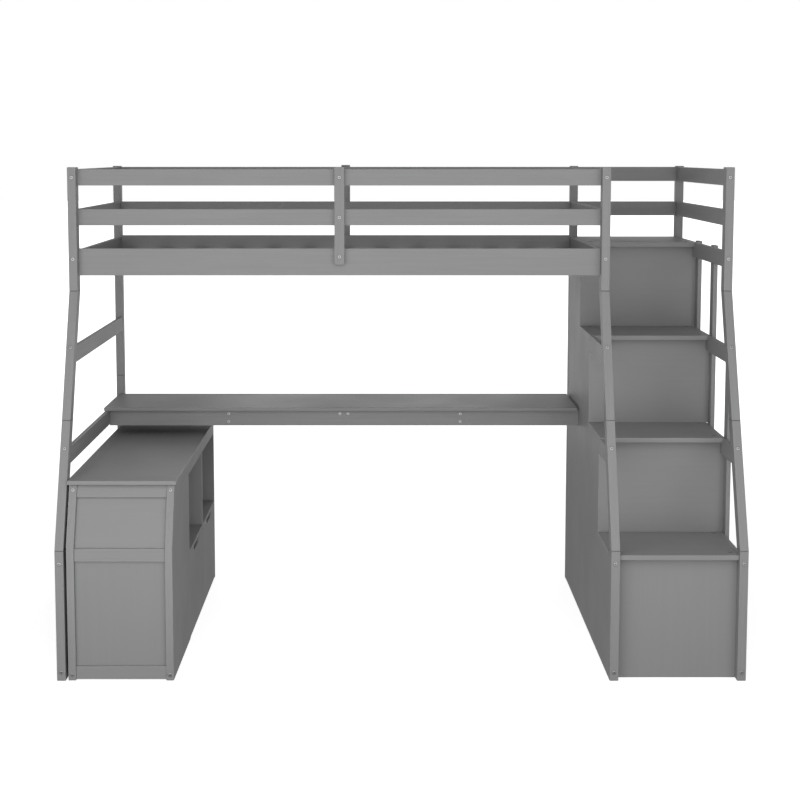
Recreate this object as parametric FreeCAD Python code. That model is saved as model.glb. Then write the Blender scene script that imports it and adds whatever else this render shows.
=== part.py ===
import FreeCAD, Part
import math
import os

# Loft bed with a desk below it, a low drawer cabinet on the left and a stair with a landing on the right.
# X runs along the bed, Y from the front to the wall, Z up. The origin is on the floor under the middle.
# Sizes are in millimetres, from the left outer face (X), the front face of the upper front legs (Y) and the
# floor (Z). Every solid is moved to the origin as it is saved.

# --- driving dimensions -------------------------------------------------------------------------------------
WIDTH = 2442.0            # left leg to right leg, outside
BED_LENGTH = 1990.0       # outside of the left leg to the right face of the middle leg
BACK = 1095.0             # wall side of the back posts
POST_FRONT = 1050.0       # front face of the back posts
FOOT_REACH = 380.0        # how far the feet stand in front of the upper legs

LEG_W, LEG_D = 31.0, 57.0
LEG_TOP, LEG_KNEE, LEG_MID, LEG_ANKLE = 1809.0, 1355.5, 904.0, 469.0
POST_W, POST_TOP = 32.0, 1806.0

RAIL_H = 60.0             # guard rails and end rails
RAIL_T = 20.0             # long rails
END_RAIL_T = 15.0
RAIL_FRONT = 35.0         # front face of the long front rails
TOP_RAIL, SECOND_RAIL, BED_END_RAIL = 1802.0, 1655.0, 1503.0
MID_RAIL, DESK_RAIL, LOW_RAIL, FLOOR_RAIL = 1158.0, 810.0, 452.0, 60.0
BED_RAIL = (1410.0, 1510.0)
STILE_W, STILE_T = 37.0, 18.0
STILE_Z = (1451.0, 1810.0)

LEDGER_W, LEDGER_H = 25.0, 22.0
SLAT_T, SLAT_W, SLAT_COUNT = 18.0, 70.0, 13
BEAM_W, BEAM_H = 40.0, 26.0

STAIR_LEFT = 1957.0       # left ends of the treads
STAIR_SIDE = 1959.0       # left ends of the risers and outer face of the stair's side panel
BOARD = 16.0              # side panel and risers
TREAD_T, NOSING, FIRST_NOSING = 18.0, 41.0, 31.0
TREAD_TOPS = (452.0, 815.0, 1160.0, 1503.0)
RISER_FRONTS = (-339.0, 0.0, 322.5, 645.0)
CLEAT_W, CLEAT_H = 45.0, 25.0
STAIR_STILE_D, STAIR_STILE_LEAD = 61.0, 45.0
STAIR_STILE_TOPS = (1105.0, 1508.0, 1508.0)

DESK_LEFT, DESK_RIGHT = 12.0, 1951.0
DESK_FRONT, DESK_T = 640.0, 14.0
APRON_FRONT, APRON_T, APRON_H = 665.0, 18.0, 64.0
JOIST_W = 30.0
JOIST_XS = (520.0, 995.0, 1473.0)

CAB_LEFT, CAB_RIGHT = 40.0, 414.0
CAB_FRONT = -376.0
CAB_TOP, CAB_TOP_T = 703.0, 15.0
FRONT_OVERHANG, SIDE_OVERHANG = 12.0, 7.0
CAB_BOARD, CAB_BACK_T = 15.0, 8.0
CAB_POST_W, CAB_POST_D = 27.0, 30.0
CAB_FLOOR = 45.0          # top of the cabinet's floor board
CAB_FRAME_ZS = (51.0, 429.0, 476.0, 644.0)
RAIL_LIFT = 4.0           # gap under the cabinet's lowest front rail
SIDE_RAIL_H = 46.0        # rail over the open bays
RAIL_SET_BACK, PANEL_SET_BACK, PANEL_T = 4.0, 13.0, 12.0
SHELF_TOP = 344.0
BAYS_FRONT = 146.0        # where the first drawer bay starts

DRAWER_GAP, DRAWER_LOW = 3.0, 4.0
CARCASS_RIGHT = 397.0     # right edge of the boards that the drawer fronts cover
DRAWER_WALL, DRAWER_BASE_T = 12.0, 6.0
DRAWER_BACK, DRAWER_Z = 70.0, (80.0, 290.0)
RUNNER_H = 19.0
NOTCH_TOP, NOTCH_BOTTOM, NOTCH_H = 170.0, 140.0, 20.0     # finger notch in a drawer front's top edge

HEAD_R, HEAD_RIM_R, HEAD_T = 7.5, 6.6, 1.8       # bolt heads that stand on the wood
SOCKET_R, SOCKET_DEPTH = 2.9, 1.3                # their hexagon sockets, corner radius
SLANTED_BOLT_RISE = 29.0                         # above the rail's middle, where a bolt enters a slanted face

# --- places worked out from them ----------------------------------------------------------------------------
SLOPE = FOOT_REACH / (LEG_KNEE - LEG_ANKLE)      # forward travel per unit of height on the slanted stretch
ORIGIN = FreeCAD.Vector(WIDTH / 2, (BACK - FOOT_REACH - HEAD_T) / 2, 0)
RIGHT_LEG = WIDTH - LEG_W
MIDDLE_LEG = BED_LENGTH - LEG_W
MIDDLE_POST = BED_LENGTH - POST_W
RAIL_BACK = RAIL_FRONT + RAIL_T
BACK_RAIL_YS = (POST_FRONT, POST_FRONT + RAIL_T)
RISER_BACKS = [y + BOARD for y in RISER_FRONTS]
TREAD_BOTTOMS = [z - TREAD_T for z in TREAD_TOPS]
LEFT_RAIL_XS = (LEG_W - END_RAIL_T, LEG_W)
RIGHT_RAIL_XS = (RIGHT_LEG, RIGHT_LEG + END_RAIL_T)
MIDDLE_RAIL_XS = (MIDDLE_LEG, MIDDLE_LEG + END_RAIL_T)
CAB_BACK = BACK - CAB_BACK_T
CAB_UNDER_TOP = CAB_TOP - CAB_TOP_T
BAY = (CAB_BACK - BAYS_FRONT - CAB_BOARD) / 2
BAY_FRONTS = (BAYS_FRONT, BAYS_FRONT + BAY + CAB_BOARD)


def leg_face(z):
    """Y of the front face of a front leg at height z."""
    return -SLOPE * (LEG_KNEE - min(max(z, LEG_ANKLE), LEG_KNEE))


def cabinet_face(z):
    """Y of the cabinet's front at height z: upright, then leaning back like the legs."""
    return CAB_FRONT + SLOPE * max(0.0, z - LEG_ANKLE)


def box(x, y, z):
    """A block between two limits on each axis."""
    return Part.makeBox(x[1] - x[0], y[1] - y[0], z[1] - z[0], FreeCAD.Vector(x[0], y[0], z[0]))


def prism(corners, along):
    """A flat outline swept along a vector."""
    points = [FreeCAD.Vector(*c) for c in corners]
    return Part.Face(Part.makePolygon(points + points[:1])).extrude(FreeCAD.Vector(*along))


def side_profile(x, yz):
    """A board seen from the side: an outline in Y and Z between two limits in X."""
    return prism([(x[0], y, z) for y, z in yz], (x[1] - x[0], 0, 0))


def plan_profile(xy, z):
    """A board seen from above: an outline in X and Y between two limits in Z."""
    return prism([(x, y, z[0]) for x, y in xy], (0, 0, z[1] - z[0]))


def front_profile(xz, y):
    """A board seen from the front: an outline in X and Z between two limits in Y."""
    return prism([(x, y[0], z) for x, z in xz], (0, y[1] - y[0], 0))


def leaning(x, face, depth, z):
    """A board that follows a leaning face, from depth[0] to depth[1] behind it."""
    low, high = z
    outline = [(face(low) + depth[0], low), (face(high) + depth[0], high)]
    return side_profile(x, outline + [(face(high) + depth[1], high), (face(low) + depth[1], low)])


def save(node, *solids):
    """Moves the solids to the origin and writes them as one named node."""
    placed = [solid.translated(ORIGIN.negative()) for solid in solids]
    shape = placed[0] if len(placed) == 1 else Part.makeCompound(placed)
    shape.exportStep("parts/" + node + ".step")


def front_leg(left):
    """Upright top, two slanted lengths and an upright foot, butted together."""
    levels = (0.0, LEG_ANKLE, LEG_MID, LEG_KNEE, LEG_TOP)
    return [leaning((left, left + LEG_W), leg_face, (0, LEG_D), z) for z in zip(levels, levels[1:])]


def back_post(left):
    """Two lengths butted at the same height as the legs' middle joint."""
    return [box((left, left + POST_W), (POST_FRONT, BACK), z) for z in ((0, LEG_MID), (LEG_MID, POST_TOP))]


def end_rail(x, top):
    """A rail from the back of a front leg to the back post, cut to the leg's slope."""
    low = top - RAIL_H
    front = [(leg_face(z) + LEG_D, z) for z in (low, top)]
    return side_profile(x, front + [(POST_FRONT, top), (POST_FRONT, low)])


def stair_rail(top, step):
    """A short rail from the middle leg to a riser, cut away under the nosing."""
    low, riser_front = top - RAIL_H, RISER_FRONTS[step]
    nosing = (riser_front - NOSING, TREAD_BOTTOMS[step])
    outline = [(leg_face(top) + LEG_D, top), (leg_face(low) + LEG_D, low), (riser_front, low)]
    outline += [(riser_front, nosing[1]), nosing, (nosing[0], top)]
    return side_profile(MIDDLE_RAIL_XS, outline)


def long_rail(x, y, top):
    return box(x, y, (top - RAIL_H, top))


def frame():
    save("front_leg_left", *front_leg(0.0))
    save("front_leg_middle", *front_leg(MIDDLE_LEG))
    save("front_leg_right", *front_leg(RIGHT_LEG))
    save("back_post_left", *back_post(0.0))
    save("back_post_middle", *back_post(MIDDLE_POST))
    save("back_post_right", *back_post(WIDTH - POST_W))

    front_xs, front_ys = (LEG_W, MIDDLE_LEG), (RAIL_FRONT, RAIL_BACK)
    back_xs = (POST_W, MIDDLE_POST)
    landing_xs = (BED_LENGTH, WIDTH - POST_W)
    guards = (SECOND_RAIL, TOP_RAIL)
    save("front_guard_rails", *[long_rail(front_xs, front_ys, top) for top in guards])
    save("back_guard_rails", *[long_rail(back_xs, BACK_RAIL_YS, top) for top in guards])
    save("landing_guard_rails", *[long_rail(landing_xs, BACK_RAIL_YS, top) for top in guards])
    save("front_bed_rail", box(front_xs, front_ys, BED_RAIL))
    save("back_bed_rail", box(back_xs, BACK_RAIL_YS, BED_RAIL))
    stile_x = (BED_LENGTH / 2 - STILE_W / 2, BED_LENGTH / 2 + STILE_W / 2)
    save("centre_stiles",
         box(stile_x, (RAIL_FRONT - STILE_T, RAIL_FRONT), STILE_Z),
         box(stile_x, (BACK_RAIL_YS[1], BACK_RAIL_YS[1] + STILE_T), STILE_Z))

    uppers = (BED_END_RAIL, SECOND_RAIL, TOP_RAIL)
    for side, x in (("left", LEFT_RAIL_XS), ("right", RIGHT_RAIL_XS)):
        save(side + "_end_guard_rails", *[end_rail(x, top) for top in uppers])
        save(side + "_end_mid_rail", end_rail(x, MID_RAIL))
        save(side + "_end_lower_rail", end_rail(x, DESK_RAIL))
        save(side + "_end_base_rails", *[end_rail(x, top) for top in (FLOOR_RAIL, LOW_RAIL)])
    save("middle_end_rails", *[end_rail(MIDDLE_RAIL_XS, top) for top in uppers[:2]],
         *[stair_rail(top, step) for step, top in ((1, DESK_RAIL), (2, MID_RAIL))])


def bed_base():
    """Ledgers along both bed rails, a centre beam between the end rails, and loose slats across them."""
    low = BED_RAIL[0]
    slat_low = low + LEDGER_H
    inner = (LEG_W, MIDDLE_LEG)
    save("slat_ledgers",
         box(inner, (RAIL_BACK, RAIL_BACK + LEDGER_W), (low, slat_low)),
         box((POST_W, MIDDLE_POST), (POST_FRONT - LEDGER_W, POST_FRONT), (low, slat_low)))
    beam_y = (RAIL_BACK + POST_FRONT) / 2
    beam_ys = (beam_y - BEAM_W / 2, beam_y + BEAM_W / 2)
    save("centre_beam", box(inner, beam_ys, (slat_low - BEAM_H, slat_low)))
    pitch = (MIDDLE_POST - POST_W - SLAT_W) / (SLAT_COUNT - 1)
    starts = [POST_W + pitch * i for i in range(SLAT_COUNT)]
    slat_ys = (RAIL_BACK + 2, POST_FRONT - 2)
    save("bed_slats", *[box((x, x + SLAT_W), slat_ys, (slat_low, slat_low + SLAT_T)) for x in starts])


def riser(step):
    """A riser below a tread; the upper three reach a stile with a tongue between the right end rails."""
    low = TREAD_TOPS[step - 1] if step else 0.0
    high = TREAD_BOTTOMS[step]
    rail_tops = (FLOOR_RAIL, LOW_RAIL, DESK_RAIL, MID_RAIL, BED_END_RAIL)
    tongue = (max(low, rail_tops[step]), rail_tops[step + 1] - RAIL_H)
    right, tip = RIGHT_RAIL_XS
    left = STAIR_SIDE
    if step == 0:       # a plain board between the middle and right legs
        return box((BED_LENGTH, right), (RISER_FRONTS[0], RISER_BACKS[0]), (low, high))
    left_side = [(left, high), (left, low)]
    if step == len(TREAD_TOPS) - 1:     # cleared round the rail at the foot of the bed
        rail_right, rail_low = MIDDLE_RAIL_XS[1], BED_END_RAIL - RAIL_H
        left_side = [(rail_right, high), (rail_right, rail_low), (left, rail_low), (left, low)]
    right_side = [(tip, tongue[0]), (tip, tongue[1]), (right, tongue[1]), (right, high)]
    if tongue[0] > low:
        right_side = [(right, low), (right, tongue[0])] + right_side
    return front_profile(left_side + right_side, (RISER_FRONTS[step], RISER_BACKS[step]))


def treads():
    left, right = STAIR_LEFT, RIGHT_LEG
    foot_back = LEG_D - FOOT_REACH
    front = RISER_FRONTS[0] - FIRST_NOSING
    first = [(BED_LENGTH, front), (right, front), (right, RISER_BACKS[1]), (left, RISER_BACKS[1])]
    first += [(left, foot_back), (BED_LENGTH, foot_back)]
    save("tread_1", plan_profile(first, (TREAD_BOTTOMS[0], TREAD_TOPS[0])))
    for step in (1, 2):
        y = (RISER_FRONTS[step] - NOSING, RISER_BACKS[step + 1])
        save("tread_%d" % (step + 1), box((left, right), y, (TREAD_BOTTOMS[step], TREAD_TOPS[step])))
    front = RISER_FRONTS[3] - NOSING
    landing_left, post_left = MIDDLE_RAIL_XS[1], WIDTH - POST_W
    landing = [(landing_left, front), (right, front), (right, POST_FRONT), (post_left, POST_FRONT)]
    landing += [(post_left, BACK), (BED_LENGTH, BACK), (BED_LENGTH, POST_FRONT), (landing_left, POST_FRONT)]
    save("landing_board", plan_profile(landing, (TREAD_BOTTOMS[3], TREAD_TOPS[3])))


def stair():
    for step in range(4):
        save("riser_%d" % (step + 1), riser(step))
    treads()

    tops = TREAD_BOTTOMS[:3] + [BED_END_RAIL - RAIL_H]
    outline = [(POST_FRONT, 0.0), (RISER_BACKS[0], 0.0)]
    for step, top in enumerate(tops):
        outline += [(RISER_BACKS[step], top), ((RISER_BACKS + [POST_FRONT])[step + 1], top)]
    save("stair_side_panel", side_profile((STAIR_SIDE, STAIR_SIDE + BOARD), outline))

    stile_x = (RIGHT_RAIL_XS[1], WIDTH)
    stiles = []
    for front, top in zip(RISER_FRONTS[1:], STAIR_STILE_TOPS):
        start = front - STAIR_STILE_LEAD
        stiles.append(box(stile_x, (start, start + STAIR_STILE_D), (0, top)))
    save("stair_stiles", *stiles)

    inner_left = STAIR_SIDE + BOARD
    cleats = []
    for step, top in enumerate(TREAD_BOTTOMS):
        y = (RISER_BACKS[step], (RISER_BACKS + [POST_FRONT])[step + 1])
        for x in (inner_left, RIGHT_LEG - CLEAT_W):
            cleats.append(box((x, x + CLEAT_W), y, (top - CLEAT_H, top)))
    save("stair_cleats", *cleats)


def desk():
    """A shallow board on the left end rail and two aprons, which three joists tie together."""
    apron_z = (DESK_RAIL - APRON_H, DESK_RAIL)
    front_ys = (APRON_FRONT, APRON_FRONT + APRON_T)
    back_ys = (POST_FRONT - APRON_T, POST_FRONT)
    desk_z = (DESK_RAIL, DESK_RAIL + DESK_T)
    save("desktop", box((DESK_LEFT, DESK_RIGHT), (DESK_FRONT, POST_FRONT), desk_z))
    save("desk_aprons", *[box((LEG_W, STAIR_SIDE), y, apron_z) for y in (front_ys, back_ys)])
    save("desk_joists", *[box((x - JOIST_W / 2, x + JOIST_W / 2), (front_ys[1], back_ys[0]), apron_z)
                          for x in JOIST_XS])


def cabinet():
    inner_left, inner_right = CAB_LEFT + CAB_POST_W, CAB_RIGHT - CAB_POST_W
    heights = (0.0, LEG_ANKLE, CAB_UNDER_TOP)
    outline = [(cabinet_face(z), z) for z in heights]
    outline += [(cabinet_face(z) + CAB_POST_D, z) for z in reversed(heights)]
    save("cabinet_front_posts",
         *[side_profile((left, left + CAB_POST_W), outline) for left in (CAB_LEFT, inner_right)])

    between = (inner_left, inner_right)
    low, middle_low, middle_high, top_low = CAB_FRAME_ZS
    rail_depth = (RAIL_SET_BACK, CAB_POST_D - RAIL_SET_BACK)
    panel_depth = (PANEL_SET_BACK, PANEL_SET_BACK + PANEL_T)
    rail_zs = ((RAIL_LIFT, low), (middle_low, middle_high), (top_low, CAB_UNDER_TOP))
    save("cabinet_front_rails", *[leaning(between, cabinet_face, rail_depth, z) for z in rail_zs])
    save("cabinet_lower_panel", leaning(between, cabinet_face, panel_depth, (low, middle_low)))
    save("cabinet_upper_panel", leaning(between, cabinet_face, panel_depth, (middle_high, top_low)))

    front = cabinet_face(CAB_UNDER_TOP) - FRONT_OVERHANG
    save("cabinet_top", box((POST_W, CAB_RIGHT + SIDE_OVERHANG), (front, BACK), (CAB_UNDER_TOP, CAB_TOP)))

    def behind_posts(back, *heights):
        start = [(cabinet_face(z) + CAB_POST_D, z) for z in heights]
        return start + [(back, heights[-1]), (back, heights[0])]

    inside = (CAB_LEFT + CAB_BOARD, CAB_RIGHT - CAB_BOARD)
    side_x = (inside[1], CAB_RIGHT)
    first_y, second_y = [(y - CAB_BOARD, y) for y in BAY_FRONTS]
    rail_low = CAB_UNDER_TOP - SIDE_RAIL_H
    left_side = behind_posts(CAB_BACK, *heights)
    save("cabinet_outer_panel", side_profile((CAB_LEFT, inside[0]), left_side))
    save("cabinet_side_panel", side_profile(side_x, behind_posts(first_y[0], 0, LEG_ANKLE, rail_low)))
    save("cabinet_back_panel", box((CAB_LEFT, CAB_RIGHT), (CAB_BACK, BACK), (0, CAB_UNDER_TOP)))
    floor = [(inside[0], CAB_FRONT + CAB_POST_D), (inside[1], CAB_FRONT + CAB_POST_D)]
    floor += [(inside[1], first_y[0]), (CARCASS_RIGHT, first_y[0])]
    floor += [(CARCASS_RIGHT, CAB_BACK), (inside[0], CAB_BACK)]
    save("cabinet_floor", plan_profile(floor, (CAB_FLOOR - CAB_BOARD, CAB_FLOOR)))
    save("cabinet_side_rails",
         side_profile(side_x, behind_posts(CAB_BACK, rail_low, CAB_UNDER_TOP)),
         box((CARCASS_RIGHT - CAB_BOARD, CARCASS_RIGHT), (first_y[1], CAB_BACK), (0, CAB_FLOOR - CAB_BOARD)))

    top = [(CAB_RIGHT, rail_low), (inside[1], rail_low)]
    top += [(inside[1], CAB_UNDER_TOP), (inside[0], CAB_UNDER_TOP)]
    start = [(inside[0], CAB_FLOOR), (CARCASS_RIGHT, CAB_FLOOR)]
    first = start + [(CARCASS_RIGHT, 0), (CAB_RIGHT, 0)] + top
    second = start + [(CARCASS_RIGHT, SHELF_TOP - CAB_BOARD), (CAB_RIGHT, SHELF_TOP - CAB_BOARD)] + top
    save("cabinet_partitions", front_profile(first, first_y), front_profile(second, second_y))
    shelf_z = (SHELF_TOP - CAB_BOARD, SHELF_TOP)
    save("cabinet_shelves", *[box((inside[0], CAB_RIGHT), (y, y + BAY), shelf_z) for y in BAY_FRONTS])

    runners = []
    for y in BAY_FRONTS:
        for start in (y, y + BAY - 2 * DRAWER_WALL):
            runners.append(box((inside[0], CARCASS_RIGHT), (start, start + 2 * DRAWER_WALL),
                               (DRAWER_Z[0] - 1 - RUNNER_H, DRAWER_Z[0] - 1)))
    save("drawer_runners", *runners)


def drawer(number, bay):
    """A plain box on runners, and a front board that covers the carcass edges and has a finger notch."""
    name = "drawer_%d_" % number
    front_back = CAB_RIGHT - BOARD
    seam = BAY_FRONTS[1] - CAB_BOARD / 2
    edges = ((BAYS_FRONT + DRAWER_GAP, seam - DRAWER_GAP / 2), (seam + DRAWER_GAP / 2, CAB_BACK - DRAWER_GAP))
    front_z = (DRAWER_LOW, SHELF_TOP - CAB_BOARD - DRAWER_GAP)
    middle = bay + BAY / 2
    outline = [(edges[number - 1][0], front_z[0]), (edges[number - 1][1], front_z[0])]
    outline += [(edges[number - 1][1], front_z[1]), (middle + NOTCH_TOP / 2, front_z[1])]
    outline += [(middle + NOTCH_BOTTOM / 2, front_z[1] - NOTCH_H)]
    outline += [(middle - NOTCH_BOTTOM / 2, front_z[1] - NOTCH_H)]
    outline += [(middle - NOTCH_TOP / 2, front_z[1]), (edges[number - 1][0], front_z[1])]
    save(name + "front", side_profile((front_back, CAB_RIGHT), outline))

    walls_y = (bay + DRAWER_WALL, bay + BAY - DRAWER_WALL)
    inner_y = (walls_y[0] + DRAWER_WALL, walls_y[1] - DRAWER_WALL)
    sides = [box((DRAWER_BACK, front_back), ys, DRAWER_Z)
             for ys in ((walls_y[0], inner_y[0]), (inner_y[1], walls_y[1]))]
    back_x = (DRAWER_BACK, DRAWER_BACK + DRAWER_WALL)
    save(name + "walls", *sides, box(back_x, inner_y, DRAWER_Z))
    save(name + "base", box((back_x[1], front_back), inner_y,
                            (DRAWER_Z[0] + DRAWER_BASE_T, DRAWER_Z[0] + 2 * DRAWER_BASE_T)))


def bolt_head(x, y, z, out):
    """A low round head with a hexagon socket, standing on a face whose outward direction is given."""
    head = Part.makeCone(HEAD_R, HEAD_RIM_R, HEAD_T)
    corners = [(SOCKET_R * math.cos(math.radians(60 * i)), SOCKET_R * math.sin(math.radians(60 * i)),
                HEAD_T - SOCKET_DEPTH) for i in range(6)]
    head = head.cut(prism(corners, (0, 0, 2 * SOCKET_DEPTH)))
    turn = FreeCAD.Rotation(FreeCAD.Vector(0, 0, 1), FreeCAD.Vector(*out))
    head.Placement = FreeCAD.Placement(FreeCAD.Vector(x, y, z), turn)
    return head


def bolt_heads():
    """The heads that show: on legs, centre stile, desk apron, cabinet posts and treads."""
    forward, slanted, upward = (0, -1, 0), (0, -1, SLOPE), (0, 0, 1)
    half = RAIL_H / 2
    leg_bolts = [(top - half, forward) for top in (FLOOR_RAIL, LOW_RAIL, BED_END_RAIL, TOP_RAIL)]
    leg_bolts += [(top - half + SLANTED_BOLT_RISE, slanted) for top in (DESK_RAIL, MID_RAIL)]
    heads = [bolt_head(left + LEG_W / 2, leg_face(z), z, out)
             for left in (0.0, MIDDLE_LEG, RIGHT_LEG) for z, out in leg_bolts]

    stile_face = RAIL_FRONT - STILE_T
    heads += [bolt_head(BED_LENGTH / 2, stile_face, top - half, forward)
              for top in (BED_RAIL[1], SECOND_RAIL, TOP_RAIL)]

    middle, apart = DESK_RAIL - APRON_H / 2, 2.2 * HEAD_R
    for x in (JOIST_XS[0], JOIST_XS[2]):
        heads += [bolt_head(x, APRON_FRONT, middle + dz, forward) for dz in (-apart, apart)]
    heads += [bolt_head(JOIST_XS[1] + dx, APRON_FRONT, middle + apart, forward) for dx in (-apart, apart)]

    cabinet_bolts = ((CAB_FRAME_ZS[0] * 0.4, forward), (CAB_UNDER_TOP - HEAD_R * 2.4, slanted))
    for left in (CAB_LEFT, CAB_RIGHT - CAB_POST_W):
        heads += [bolt_head(left + CAB_POST_W / 2, cabinet_face(z), z, out) for z, out in cabinet_bolts]

    cleat_middles = (STAIR_SIDE + BOARD + CLEAT_W / 2, RIGHT_LEG - CLEAT_W / 2)
    for top, front, back in zip(TREAD_TOPS, RISER_FRONTS, RISER_FRONTS[1:] + (POST_FRONT,)):
        heads += [bolt_head(x, y, top, upward) for x in cleat_middles for y in (front + BOARD, back - BOARD)]
    save("bolt_heads", *heads)


def main():
    os.makedirs("parts", exist_ok=True)
    frame()
    bed_base()
    stair()
    desk()
    cabinet()
    for number, bay in enumerate(BAY_FRONTS, 1):
        drawer(number, bay)
    bolt_heads()


main()
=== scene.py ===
import math
import random

import bmesh
import bpy
from mathutils import Matrix, Vector


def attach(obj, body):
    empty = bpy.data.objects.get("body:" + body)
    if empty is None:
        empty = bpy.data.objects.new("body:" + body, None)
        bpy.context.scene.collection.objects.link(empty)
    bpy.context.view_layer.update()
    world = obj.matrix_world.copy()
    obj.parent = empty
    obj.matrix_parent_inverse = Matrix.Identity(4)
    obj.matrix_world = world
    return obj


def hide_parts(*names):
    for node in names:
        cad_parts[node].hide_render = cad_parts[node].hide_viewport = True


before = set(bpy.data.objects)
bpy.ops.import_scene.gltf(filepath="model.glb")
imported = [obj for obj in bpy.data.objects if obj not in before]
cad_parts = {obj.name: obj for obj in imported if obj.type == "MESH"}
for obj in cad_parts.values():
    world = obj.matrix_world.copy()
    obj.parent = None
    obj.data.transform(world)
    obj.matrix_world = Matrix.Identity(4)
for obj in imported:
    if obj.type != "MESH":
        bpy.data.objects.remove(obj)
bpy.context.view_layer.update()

# Loft bed with a desk below it, a low drawer cabinet on the left and a stair on the right. Metres throughout.
# Every board is made from its CAD solid, gets eased edges and carries its own grain frame for the paint.

SEED = 20411

# --- camera and studio --------------------------------------------------------------------------------------
CAMERA_PLACE = (-0.0632, -6.5237, 1.8599)
CAMERA_TILT = math.radians(6.22)            # below the horizon
SENSOR = 36.0
LENS = 75.585
SHIFT = (0.0205, -0.0796)

LAMPS = {       # place, aim, size, watts
    "front_soft": ((0.0, -2.3, 1.2), (0.0, 0.0, 1.0), (5.0, 2.6), 44.2),
    "front_high": ((0.0, -2.0, 3.0), (0.0, 0.2, 0.9), (4.4, 1.4), 9.0),
    "left_low": ((-1.6, -2.6, 0.7), (0.75, 0.4, 0.7), (1.2, 1.0), 3.1),
    "back_high": ((0.0, 4.0, 2.6), (0.0, 0.4, 0.9), (4.2, 2.6), 15.0),
    "back_low": ((-0.2, 2.0, 0.9), (-0.2, 0.3, 0.7), (1.6, 1.0), 2.9),
}
SKY_ABOVE, SKY_BELOW = 0.267, 0.314
HORIZON = 0.05                              # half height of the blend between the two
FLOOR_SIZE = 60.0
FLOOR_GLOW = (0.72, 1.25)                   # near the object and far from it
FLOOR_REACH = (1.6, 7.0)                    # where that change starts and ends
FLOOR_TINTS = (0.84, 0.86)
FLOOR_CLOUD = (1.1, 2.0)                    # noise: scale and detail
FLOOR_ROUGHNESS = 0.7

# --- eased edges: width and number of segments --------------------------------------------------------------
SOLID_EDGE = (0.0016, 3)
PANEL_EDGE = (0.0009, 2)
TOP_EDGE = (0.0022, 3)
SMALL_EDGE = (0.0008, 2)
EDGE_ANGLE = math.radians(25)

# --- reading the CAD solids ---------------------------------------------------------------------------------
POINT_DIGITS = 6                            # decimals at which two points of one solid are the same
CORNER_DIGITS = 4                           # decimals at which corners of two solids are the same
FLAT_ANGLE = math.radians(0.5)              # faces that turn less than this are one face
SIDEWAYS = 0.1                              # largest cosine between the grain and a side face's normal
LOT_REACH = 40.0                            # how far apart two boards lie in the grain pattern

# --- colours (linear) ---------------------------------------------------------------------------------------
PAINT = (0.29, 0.29, 0.291)
STEEL = (0.44, 0.44, 0.446)

# --- paint over wood ----------------------------------------------------------------------------------------
# Noises. With the grain: (stretch along it, across it), (scale, detail, roughness). Others: the last three.
STREAKS = ((1.3, 42.0), (2.0, 4.0, 0.6))
FIBRES = ((12.0, 420.0), (2.0, 3.0, 0.6))
DRAG = ((3.0, 95.0), (3.0, 3.0, 0.5))
CLOUD = (3.2, 3.0, 0.55)
ROLLER = (620.0, 2.0, 0.5)

# Tints are times the plain colour, shares how much of a tint shows, fades the noise values it fades in over.
STREAK_TINTS = (-0.035, 0.03)               # more and less than 1, for one unit of grain
STREAK_FADE = (0.3, 0.7)
FIBRE_TINT = 0.62
FIBRE_SHARE = 0.10
FIBRE_FADE = (0.56, 0.72)
CLOUD_TINT = 0.88
CLOUD_SHARE = 0.10
CLOUD_FADE = (0.35, 0.7)
BOARD_TINT = 1.16
BOARD_SHARE = 0.10
# Lighter edges: partly paint worn thin, partly a painted highlight where the eased edges meet the light.
WEAR_AND_HIGHLIGHT_TINT = 1.55
WEAR_AND_HIGHLIGHT_SHARE = 0.42
WEAR_AND_HIGHLIGHT_FADE = (0.40, 0.66)
WEAR_AND_HIGHLIGHT_REACH = (0.0026, 0.0004)               # metres from the edge: none of it, all of it
SEAM_TINT = 0.22
SEAM_SHARE = 0.85
SEAM_REACH = (0.0022, 0.0004)               # metres from the joint: none of it, all of it

ROUGH_FADE = (0.3, 0.7)
PAINT_ROUGHNESS = (0.40, 0.48)
ROLLER_ROUGHNESS = 0.06
WORN_GLOSS = 0.10
PAINT_SPECULAR = 0.42

ROLLER_BUMP = 0.00006                       # metres
FIBRE_BUMP = 0.00016
STREAK_BUMP = 0.0006

# --- plated steel -------------------------------------------------------------------------------------------
TURNING = 14000.0                           # radians of the turning marks in one metre
TURNING_BUMP = 0.00002
STEEL_CLOUD = (320.0, 3.0, 0.6)
STEEL_TINTS = (0.86, 1.1)
STEEL_FADE = (0.35, 0.7)
STEEL_ROUGHNESS = (0.24, 0.38)
SOCKET_PAINTED_SHADE_TINT = 0.35
PAINTED_SHADE_HEIGHTS = (0.0006, 0.0016)            # heights over the wood: full painted shade, plain steel


# ============================================================================================================
# Node helpers
# ============================================================================================================

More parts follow.
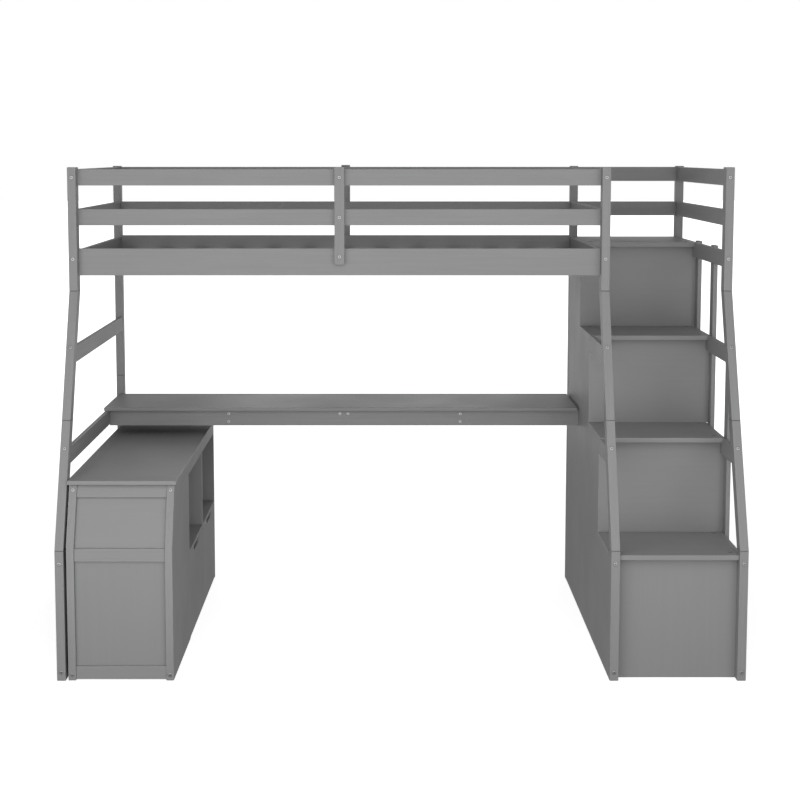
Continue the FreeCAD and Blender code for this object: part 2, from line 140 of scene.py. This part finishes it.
class Shade:
    """A small builder for one material's node tree."""

    def __init__(self, name):
        self.material = bpy.data.materials.new(name)
        self.material.use_nodes = True
        self.tree = self.material.node_tree
        self.tree.nodes.clear()
        self.shader = self.node("ShaderNodeBsdfPrincipled")
        output = self.node("ShaderNodeOutputMaterial")
        self.link(self.shader.outputs["BSDF"], output.inputs["Surface"])

    def node(self, kind, **settings):
        made = self.tree.nodes.new(kind)
        for name, value in settings.items():
            setattr(made, name, value)
        return made

    def link(self, source, target):
        self.tree.links.new(source, target)

    def put(self, socket, value):
        """Links a socket, or writes a constant on it."""
        if isinstance(value, bpy.types.NodeSocket):
            self.link(value, socket)
        else:
            socket.default_value = value

    def math(self, operation, *values):
        made = self.node("ShaderNodeMath", operation=operation)
        for socket, value in zip(made.inputs, values):
            self.put(socket, value)
        return made.outputs[0]

    def vector(self, operation, *values):
        made = self.node("ShaderNodeVectorMath", operation=operation)
        for socket, value in zip(made.inputs, values):
            self.put(socket, value)
        return made.outputs["Value" if operation == "LENGTH" else "Vector"]

    def ramp(self, value, low, high, to_low=0.0, to_high=1.0):
        made = self.node("ShaderNodeMapRange", interpolation_type="SMOOTHSTEP")
        for socket, number in zip(made.inputs, (value, low, high, to_low, to_high)):
            self.put(socket, number)
        return made.outputs[0]

    def mix(self, factor, a, b):
        made = self.node("ShaderNodeMix", data_type="RGBA")
        for name, value in (("Factor_Float", factor), ("A_Color", a), ("B_Color", b)):
            socket = next(s for s in made.inputs if s.identifier == name)
            self.put(socket, value)
        return next(s for s in made.outputs if s.identifier == "Result_Color")

    def noise(self, vector, scale, detail=2.0, rough=0.5):
        made = self.node("ShaderNodeTexNoise")
        self.put(made.inputs["Vector"], vector)
        made.inputs["Scale"].default_value = scale
        made.inputs["Detail"].default_value = detail
        made.inputs["Roughness"].default_value = rough
        return made.outputs["Fac"]

    def attribute(self, name):
        made = self.node("ShaderNodeAttribute", attribute_name=name, attribute_type="GEOMETRY")
        return made.outputs["Vector"]

    def split(self, vector):
        made = self.node("ShaderNodeSeparateXYZ")
        self.link(vector, made.inputs[0])
        return made.outputs

    def bump(self, height, distance, below=None):
        made = self.node("ShaderNodeBump")
        made.inputs["Strength"].default_value = 1.0
        made.inputs["Distance"].default_value = distance
        self.put(made.inputs["Height"], height)
        if below is not None:
            self.link(below, made.inputs["Normal"])
        return made.outputs["Normal"]

    def set(self, **values):
        """Writes or links sockets of the shader; underscores stand for spaces."""
        for name, value in values.items():
            self.put(self.shader.inputs[name.replace("_", " ")], value)


def grey(value):
    return (value, value, value, 1.0)


def scaled(colour, factor):
    return tuple(c * factor for c in colour) + (1.0,)


# ============================================================================================================
# Materials
# ============================================================================================================

def seam_line(shade):
    """One along the line where two lengths of a leg or post butt, nothing elsewhere."""
    end, butted, half_length = shade.split(shade.attribute("joint"))
    gap = shade.math("MULTIPLY", shade.math("SUBTRACT", 1.0, shade.math("ABSOLUTE", end)), half_length)
    return shade.math("MULTIPLY", shade.ramp(gap, *SEAM_REACH), butted)


def board_frame(shade):
    """The board's own coordinates with its random offset, its tone, and the distance to its nearest edge."""
    at, half, lot = [shade.attribute(name) for name in ("at", "half", "lot")]
    moved = shade.vector("ADD", at, lot)
    x, y, z = shade.split(shade.vector("SUBTRACT", half, shade.vector("ABSOLUTE", at)))
    # Of the three distances to the faces, the middle one is small only near an edge.
    small, large = shade.math("MINIMUM", x, y), shade.math("MAXIMUM", x, y)
    edge = shade.math("MAXIMUM", small, shade.math("MINIMUM", large, z))
    tone = shade.math("FRACT", shade.split(lot)[0])
    return moved, tone, edge


def grain_noise(shade, vector, stretch, settings):
    """Noise on coordinates squeezed along the board, so that it runs with the grain."""
    along, across = stretch
    return shade.noise(shade.vector("MULTIPLY", vector, (along, across, across)), *settings)


def painted(name, grain, stipple):
    """Satin paint over wood: faint grain under it, roller texture, lighter along the edges, partly paint worn
    thin and partly a painted highlight.
    """
    shade = Shade(name)
    place, tone, edge = board_frame(shade)

    streaks = grain_noise(shade, place, *STREAKS)
    fibres = grain_noise(shade, place, *FIBRES)
    cloud = shade.noise(place, *CLOUD)
    roller = shade.noise(place, *ROLLER)
    drag = grain_noise(shade, place, *DRAG)

    def layer(below, cover, share, tint):
        return shade.mix(shade.math("MULTIPLY", cover, share), below, scaled(PAINT, tint))

    dark, light = [scaled(PAINT, 1 + tint * grain) for tint in STREAK_TINTS]
    body = shade.mix(shade.ramp(streaks, *STREAK_FADE), dark, light)
    body = layer(body, shade.ramp(fibres, *FIBRE_FADE), FIBRE_SHARE * grain, FIBRE_TINT)
    body = layer(body, shade.ramp(cloud, *CLOUD_FADE), CLOUD_SHARE, CLOUD_TINT)
    body = layer(body, tone, BOARD_SHARE, BOARD_TINT)
    # Lighter along the edges: partly wear, partly a painted highlight.
    wear_and_highlight = shade.math("MULTIPLY", shade.ramp(edge, *WEAR_AND_HIGHLIGHT_REACH), shade.ramp(drag, *WEAR_AND_HIGHLIGHT_FADE))
    body = layer(body, wear_and_highlight, WEAR_AND_HIGHLIGHT_SHARE, WEAR_AND_HIGHLIGHT_TINT)
    body = layer(body, seam_line(shade), SEAM_SHARE, SEAM_TINT)

    rough = shade.ramp(cloud, *ROUGH_FADE, *PAINT_ROUGHNESS)
    rough = shade.math("ADD", rough, shade.math("MULTIPLY", roller, ROLLER_ROUGHNESS))
    rough = shade.math("SUBTRACT", rough, shade.math("MULTIPLY", wear_and_highlight, WORN_GLOSS))

    normal = shade.bump(roller, ROLLER_BUMP * stipple)
    normal = shade.bump(fibres, FIBRE_BUMP * grain, below=normal)
    normal = shade.bump(streaks, STREAK_BUMP * grain, below=normal)
    shade.set(Base_Color=body, Roughness=rough, Normal=normal, Specular_IOR_Level=PAINT_SPECULAR)
    return shade.material


def plated_steel():
    """Bright zinc-plated bolt heads with fine turning marks and painted shade low on the head and in the
    socket. "at" holds each point's radius and height.
    """
    shade = Shade("bolt_steel")
    lathe = shade.attribute("at")
    radius, height = shade.split(lathe)[:2]
    rings = shade.math("SINE", shade.math("MULTIPLY", radius, TURNING))
    cloud = shade.noise(lathe, *STEEL_CLOUD)
    body = shade.mix(shade.ramp(cloud, *STEEL_FADE), *[scaled(STEEL, tint) for tint in STEEL_TINTS])
    # Painted shade: darker towards the wood, on the head's lower side and down in the hex socket.
    body = shade.mix(shade.ramp(height, *PAINTED_SHADE_HEIGHTS), scaled(STEEL, SOCKET_PAINTED_SHADE_TINT), body)
    shade.set(Base_Color=body, Roughness=shade.ramp(cloud, *ROUGH_FADE, *STEEL_ROUGHNESS), Metallic=1.0,
              Normal=shade.bump(rings, TURNING_BUMP))
    return shade.material


# ============================================================================================================
# Objects
# ============================================================================================================

def add_object(name, data):
    made = bpy.data.objects.new(name, data)
    bpy.context.scene.collection.objects.link(made)
    return made


def store_vectors(mesh, name, values):
    """Keeps one vector for each point of a mesh, which the materials read by that name."""
    layer = mesh.attributes.new(name, "FLOAT_VECTOR", "POINT")
    layer.data.foreach_set("vector", [c for v in values for c in v])


# ============================================================================================================
# Boards
# ============================================================================================================

def solids_of(node):
    """The closed solids of a CAD node, each as a list of triangles. Faces of one solid follow each other."""
    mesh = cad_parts[node].data
    places = [tuple(round(c, POINT_DIGITS) for c in vertex.co) for vertex in mesh.vertices]
    solids, triangles, open_edges = [], [], set()
    for face in mesh.polygons:
        corners = [places[i] for i in face.vertices]
        triangles.append(corners)
        for a, b in zip(corners, corners[1:] + corners[:1]):
            open_edges ^= {(min(a, b), max(a, b))}
        if not open_edges:
            solids.append(triangles)
            triangles = []
    return solids


def flat_faces(triangles):
    """A bmesh of one solid with its coplanar triangles joined."""
    made = bmesh.new()
    found = {}
    for corners in triangles:
        for corner in corners:
            if corner not in found:
                found[corner] = made.verts.new(corner)
        if len({*corners}) == 3:
            made.faces.new([found[c] for c in corners])
    made.normal_update()
    bmesh.ops.dissolve_limit(made, angle_limit=FLAT_ANGLE, verts=made.verts, edges=made.edges)
    made.normal_update()
    return made


def grain_frame(solid):
    """Directions along, across and through a board: its longest edge and the normal of its largest face."""
    longest = max(solid.edges, key=lambda e: e.calc_length())
    along = (longest.verts[1].co - longest.verts[0].co).normalized()
    faces = [f for f in solid.faces if abs(f.normal.dot(along)) < SIDEWAYS]
    through = max(faces, key=lambda f: f.calc_area()).normal.copy()
    across = through.cross(along).normalized()
    return Matrix((along, across, along.cross(across)))


def corner_key(point):
    return tuple(round(c, CORNER_DIGITS) for c in point)


def corner_owners(solids):
    """How many solids have a corner at each place: more than one where two lengths butt."""
    count = {}
    for triangles in solids:
        for key in {corner_key(corner) for corners in triangles for corner in corners}:
            count[key] = count.get(key, 0) + 1
    return count


def board_mesh(name, node, seed):
    """All solids of a CAD node as one mesh, with four vectors for each point that the paint reads.

    "at" is its place in the board's own frame, "half" the board's half sizes and "lot" the board's random
    offset. "joint" holds the end that it is on, whether another length butts there, and the half length.
    """
    draw = random.Random(seed)
    points, faces, at, half, lot, joint = [], [], [], [], [], []
    solids = solids_of(node)
    owners = corner_owners(solids)
    for triangles in solids:
        solid = flat_faces(triangles)
        turn = grain_frame(solid)
        local = [turn @ v.co for v in solid.verts]
        low = Vector([min(p[i] for p in local) for i in range(3)])
        high = Vector([max(p[i] for p in local) for i in range(3)])
        middle, reach = (low + high) / 2, (high - low) / 2
        offset = Vector([draw.uniform(0, LOT_REACH) for _ in range(3)])
        start = len(points)
        solid.verts.index_update()
        for vertex, place in zip(solid.verts, local):
            butted = owners.get(corner_key(vertex.co), 1) > 1
            points.append(vertex.co.copy())
            at.append(place - middle)
            half.append(reach)
            lot.append(offset)
            joint.append(Vector((math.copysign(1, place.x - middle.x), butted, reach.x)))
        faces += [[start + v.index for v in f.verts] for f in solid.faces]
        solid.free()
    mesh = bpy.data.meshes.new(name)
    mesh.from_pydata(points, [], faces)
    for title, values in (("at", at), ("half", half), ("lot", lot), ("joint", joint)):
        store_vectors(mesh, title, values)
    return mesh


def make_board(node, material, edge, slot, body, seed):
    """The piece that stands for one CAD node, with eased edges."""
    name = node + "_boards"
    mesh = board_mesh(name, node, seed)
    mesh.shade_smooth()
    mesh.materials.append(material)
    piece = add_object(name, mesh)
    ease = piece.modifiers.new("eased_edges", "BEVEL")
    ease.width, ease.segments = edge
    ease.limit_method = "ANGLE"
    ease.angle_limit = EDGE_ANGLE
    ease.harden_normals = True
    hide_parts(node)
    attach(piece, body)


SOLID_WOOD = (
    "front_leg_left", "front_leg_middle", "front_leg_right",
    "back_post_left", "back_post_middle", "back_post_right",
    "front_guard_rails", "back_guard_rails", "landing_guard_rails",
    "front_bed_rail", "back_bed_rail", "centre_stiles",
    "left_end_guard_rails", "left_end_mid_rail", "left_end_lower_rail", "left_end_base_rails",
    "right_end_guard_rails", "right_end_mid_rail", "right_end_lower_rail", "right_end_base_rails",
    "middle_end_rails", "stair_stiles", "desk_aprons", "desk_joists",
    "cabinet_front_posts", "cabinet_front_rails",
)
BED_WOOD = ("slat_ledgers", "centre_beam", "bed_slats", "stair_cleats", "drawer_runners")
PANELS = (
    "riser_1", "riser_2", "riser_3", "riser_4", "stair_side_panel",
    "cabinet_lower_panel", "cabinet_upper_panel", "cabinet_outer_panel", "cabinet_side_panel",
    "cabinet_back_panel", "cabinet_floor", "cabinet_side_rails", "cabinet_partitions", "cabinet_shelves",
)
TOPS = ("tread_1", "tread_2", "tread_3", "landing_board", "desktop", "cabinet_top")


def make_boards():
    wood = painted("painted_wood", grain=1.0, stipple=0.7)
    panel = painted("painted_panel", grain=0.35, stipple=1.0)
    slat = painted("washed_wood", grain=1.8, stipple=0.5)
    boards = [(node, wood, SOLID_EDGE, "painted_wood", "frame") for node in SOLID_WOOD]
    boards += [(node, slat, SOLID_EDGE, "slat_wood", "frame") for node in BED_WOOD]
    boards += [(node, panel, PANEL_EDGE, "painted_wood", "frame") for node in PANELS]
    boards += [(node, panel, TOP_EDGE, "painted_wood", "frame") for node in TOPS]
    for body in ("drawer_1", "drawer_2"):
        boards.append((body + "_front", panel, TOP_EDGE, "painted_wood", body))
        boards.append((body + "_walls", panel, SMALL_EDGE, "drawer_wood", body))
        boards.append((body + "_base", panel, SMALL_EDGE, "drawer_wood", body))
    for seed, board in enumerate(boards, SEED + 1):
        make_board(*board, seed)


# ============================================================================================================
# Bolt heads
# ============================================================================================================

HEAD_SIDES = 36
HEAD_SHARP = math.radians(35)
HEAD_RINGS = (          # radius, height, and whether the ring is hexagonal; metres from the wood's face
    (0.00750, 0.00000, False),
    (0.00750, 0.00055, False),
    (0.00735, 0.00100, False),
    (0.00695, 0.00140, False),
    (0.00630, 0.00168, False),
    (0.00550, 0.00180, False),
    (0.00420, 0.00180, False),
    (0.00310, 0.00180, True),
    (0.00290, 0.00165, True),
    (0.00285, 0.00050, True),
    (0.00150, 0.00035, True),
)


def head_radius(radius, turn, hexagonal):
    """Distance from the axis at one angle, on a circle or on a hexagon with that corner radius."""
    if not hexagonal:
        return radius
    sixth = math.pi / 3
    return radius * math.cos(sixth / 2) / math.cos(turn % sixth - sixth / 2)


def bolt_seats():
    """Centre and outward direction of every bolt head, read from the CAD solids."""
    seats = []
    for triangles in solids_of("bolt_heads"):
        solid = flat_faces(triangles)
        seat = max(solid.faces, key=lambda f: f.calc_area())
        seats.append((seat.calc_center_bounds(), -seat.normal))
        solid.free()
    return seats


def add_head(points, at, faces, centre, turn):
    """One head: the rings from the wood's face outward and into the socket, closed at both ends."""
    start = len(points)
    for radius, height, hexagonal in HEAD_RINGS:
        for i in range(HEAD_SIDES):
            angle = 2 * math.pi * i / HEAD_SIDES
            r = head_radius(radius, angle, hexagonal)
            points.append(centre + turn @ Vector((r * math.cos(angle), r * math.sin(angle), height)))
            at.append(Vector((radius, height, 0.0)))
    for ring in range(len(HEAD_RINGS) - 1):
        a, b = start + ring * HEAD_SIDES, start + (ring + 1) * HEAD_SIDES
        for i in range(HEAD_SIDES):
            j = (i + 1) % HEAD_SIDES
            faces.append((a + i, a + j, b + j, b + i))
    last = start + (len(HEAD_RINGS) - 1) * HEAD_SIDES
    faces.append(tuple(range(start + HEAD_SIDES - 1, start - 1, -1)))
    faces.append(tuple(range(last, last + HEAD_SIDES)))


def make_bolt_heads():
    draw = random.Random(SEED)
    points, at, faces = [], [], []
    for centre, out in bolt_seats():
        spin = Matrix.Rotation(draw.uniform(0, math.pi), 3, "Z")
        add_head(points, at, faces, centre, out.to_track_quat("Z", "Y").to_matrix() @ spin)
    mesh = bpy.data.meshes.new("bolt_heads_turned")
    mesh.from_pydata(points, [], faces)
    store_vectors(mesh, "at", at)
    mesh.shade_smooth()
    mesh.set_sharp_from_angle(angle=HEAD_SHARP)
    mesh.materials.append(plated_steel())
    piece = add_object("bolt_heads_turned", mesh)
    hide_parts("bolt_heads")
    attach(piece, "frame")


# ============================================================================================================
# Studio
# ============================================================================================================

def pale_floor():
    """A luminous white floor: soft shadows near the object, pure white further out."""
    shade = Shade("pale_floor")
    place = shade.node("ShaderNodeTexCoord").outputs["Object"]
    cloud = shade.noise(place, *FLOOR_CLOUD)
    away = shade.vector("LENGTH", place)
    body = shade.mix(cloud, *[grey(tint) for tint in FLOOR_TINTS])
    glow = shade.ramp(away, *FLOOR_REACH, *FLOOR_GLOW)
    shade.set(Base_Color=body, Roughness=FLOOR_ROUGHNESS, Emission_Color=grey(1.0), Emission_Strength=glow)
    return shade.material


def make_floor():
    mesh = bpy.data.meshes.new("studio_floor")
    corners = [(x * FLOOR_SIZE, y * FLOOR_SIZE, 0) for x, y in ((-1, -1), (1, -1), (1, 1), (-1, 1))]
    mesh.from_pydata(corners, [], [(0, 1, 2, 3)])
    mesh.materials.append(pale_floor())
    floor = add_object("studio_floor", mesh)
    # Only the camera sees it: the light that a floor would throw up comes from the world.
    floor.visible_diffuse = False
    floor.visible_glossy = False
    floor.visible_shadow = False


def area_light(name, place, aim, size, power):
    light = bpy.data.lights.new(name, "AREA")
    light.shape = "RECTANGLE"
    light.size, light.size_y = size
    light.energy = power
    lamp = add_object(name, light)
    lamp.location = place
    lamp.rotation_euler = (Vector(aim) - Vector(place)).to_track_quat("-Z", "Y").to_euler()
    lamp.visible_camera = False


def make_world():
    """White behind the object; as light, dim from above and brighter from the floor's side."""
    world = bpy.data.worlds.new("studio_world")
    bpy.context.scene.world = world
    world.use_nodes = True
    tree = world.node_tree
    tree.nodes.clear()
    place = tree.nodes.new("ShaderNodeTexCoord")
    parts = tree.nodes.new("ShaderNodeSeparateXYZ")
    level = tree.nodes.new("ShaderNodeMapRange")
    seen = tree.nodes.new("ShaderNodeLightPath")
    white = tree.nodes.new("ShaderNodeMath")
    glow = tree.nodes.new("ShaderNodeBackground")
    output = tree.nodes.new("ShaderNodeOutputWorld")
    white.operation = "MAXIMUM"
    limits = (("From Min", -HORIZON), ("From Max", HORIZON), ("To Min", SKY_BELOW), ("To Max", SKY_ABOVE))
    for name, value in limits:
        level.inputs[name].default_value = value
    tree.links.new(place.outputs["Generated"], parts.inputs[0])
    tree.links.new(parts.outputs[2], level.inputs["Value"])
    tree.links.new(level.outputs[0], white.inputs[0])
    tree.links.new(seen.outputs["Is Camera Ray"], white.inputs[1])
    tree.links.new(white.outputs[0], glow.inputs["Strength"])
    tree.links.new(glow.outputs[0], output.inputs[0])
    glow.inputs["Color"].default_value = grey(1.0)


def make_camera():
    data = bpy.data.cameras.new("camera")
    data.sensor_width, data.lens = SENSOR, LENS
    data.shift_x, data.shift_y = SHIFT
    camera = add_object("camera", data)
    camera.location = CAMERA_PLACE
    camera.rotation_euler = (math.radians(90) - CAMERA_TILT, 0, 0)
    bpy.context.scene.camera = camera


def make_studio():
    make_floor()
    make_world()
    for name, (place, aim, size, power) in LAMPS.items():
        area_light(name, place, aim, size, power)
    bpy.context.scene.view_settings.view_transform = "Standard"


make_camera()
make_boards()
make_bolt_heads()
make_studio()
